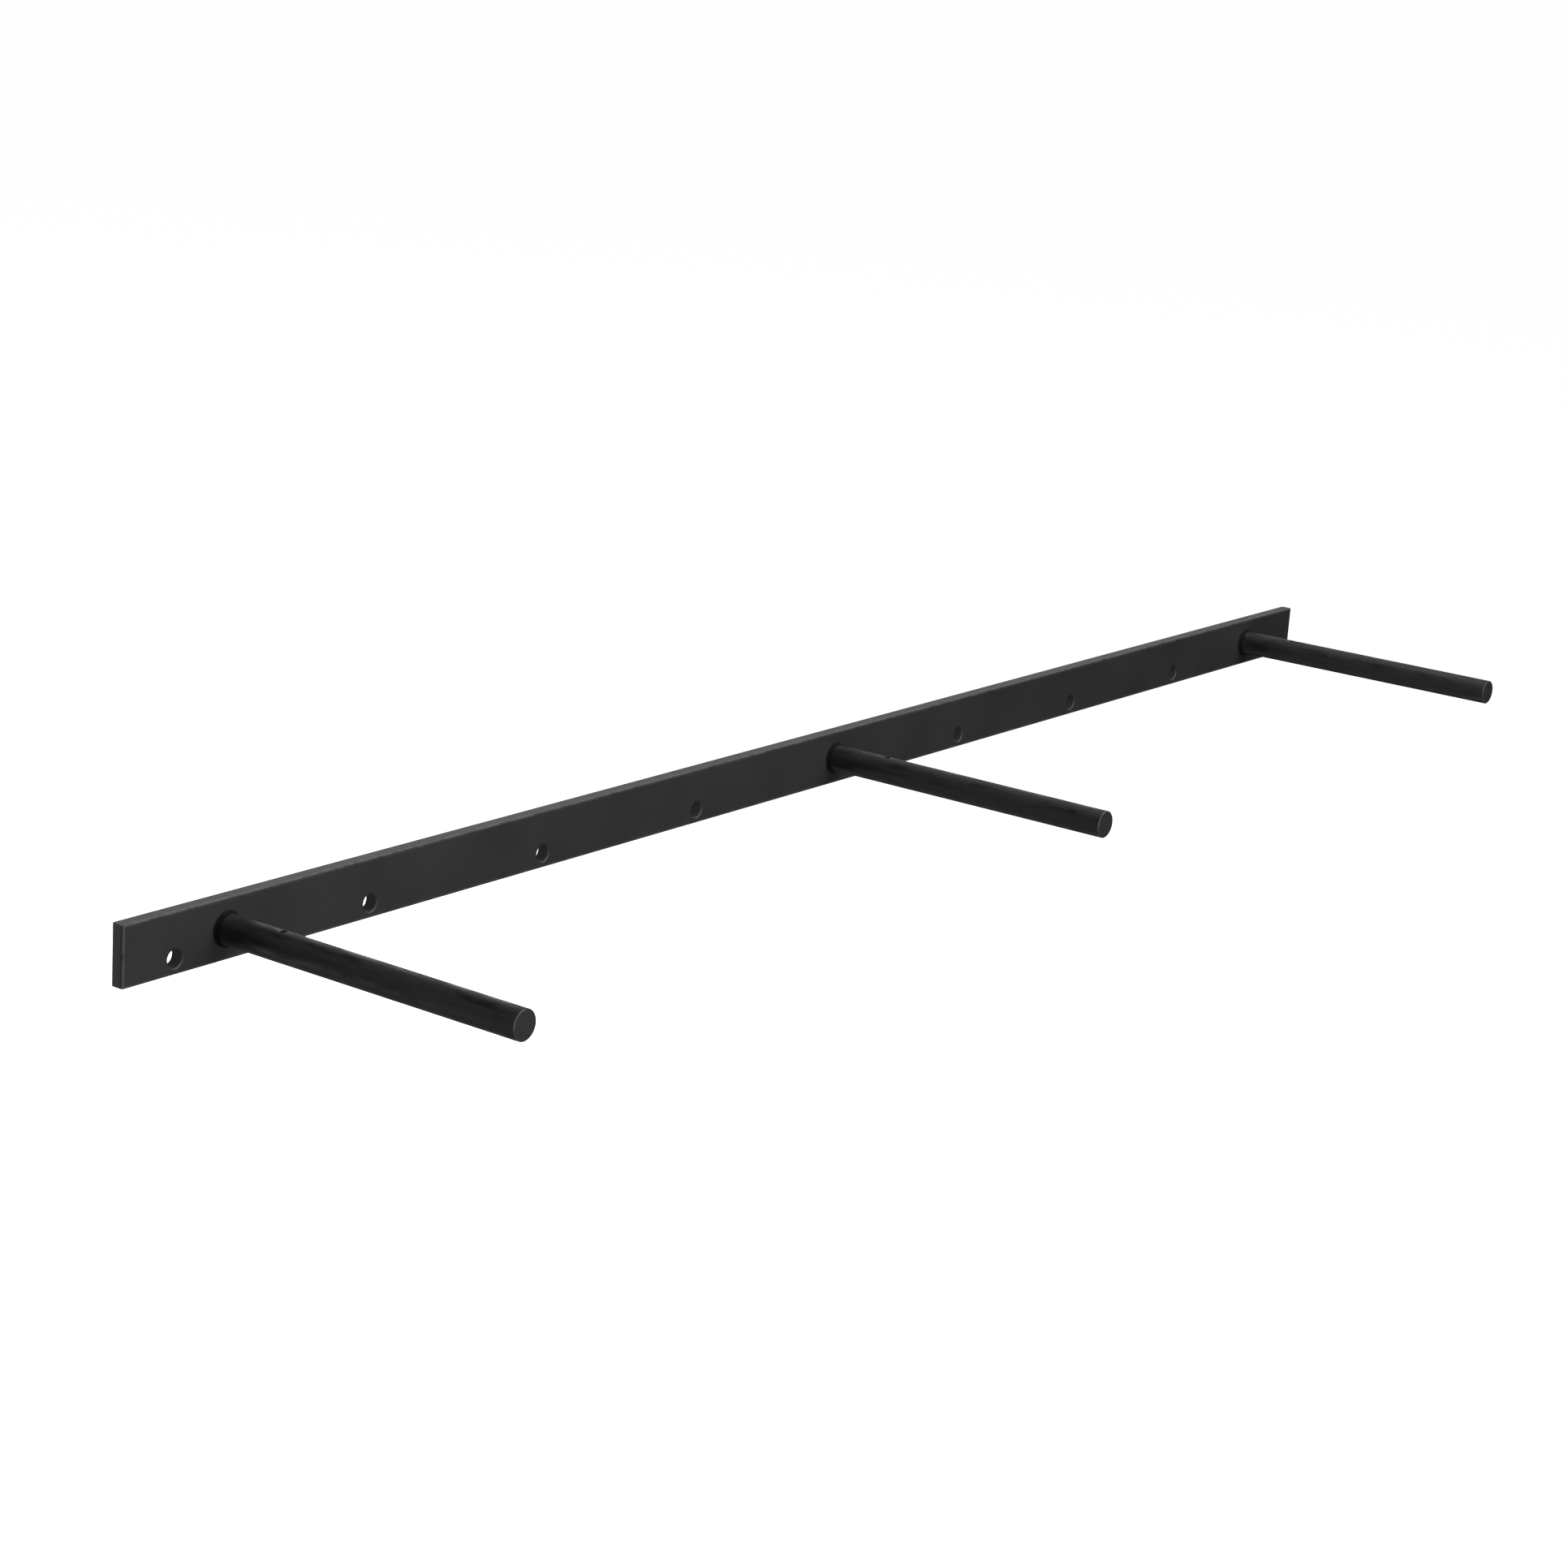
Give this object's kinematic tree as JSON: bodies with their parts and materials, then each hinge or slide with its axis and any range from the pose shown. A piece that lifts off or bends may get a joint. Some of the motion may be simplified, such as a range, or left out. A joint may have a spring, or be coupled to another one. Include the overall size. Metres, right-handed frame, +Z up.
{
  "type": "floating shelf bracket",
  "caption": "Blind bracket for a floating shelf: flat steel wall bar with wall screw holes and round support rods, each with a cross hole for a locking screw.",
  "frame": {"origin": "middle of the bar's back face, on the wall", "axes": "+X along the bar to the right as seen from the room, +Y into the wall, +Z up; the rods stand out along -Y"},
  "size_m": [1.3716, 0.2381, 0.0382],
  "materials": {
    "bar_coat": "satin black powder coat",
    "rod_coat": "satin black powder coat over drawn round bar",
    "weld_coat": "satin black powder coat over weld metal"
  },
  "bodies": {
    "root": {"back_bar": "bar_coat", "rod_left": "rod_coat", "front_weld_left": "weld_coat", "rear_weld_left": "weld_coat", "rod_middle": "rod_coat", "front_weld_middle": "weld_coat", "rear_weld_middle": "weld_coat", "rod_right": "rod_coat", "front_weld_right": "weld_coat", "rear_weld_right": "weld_coat"}
  },
  "joints": []
}
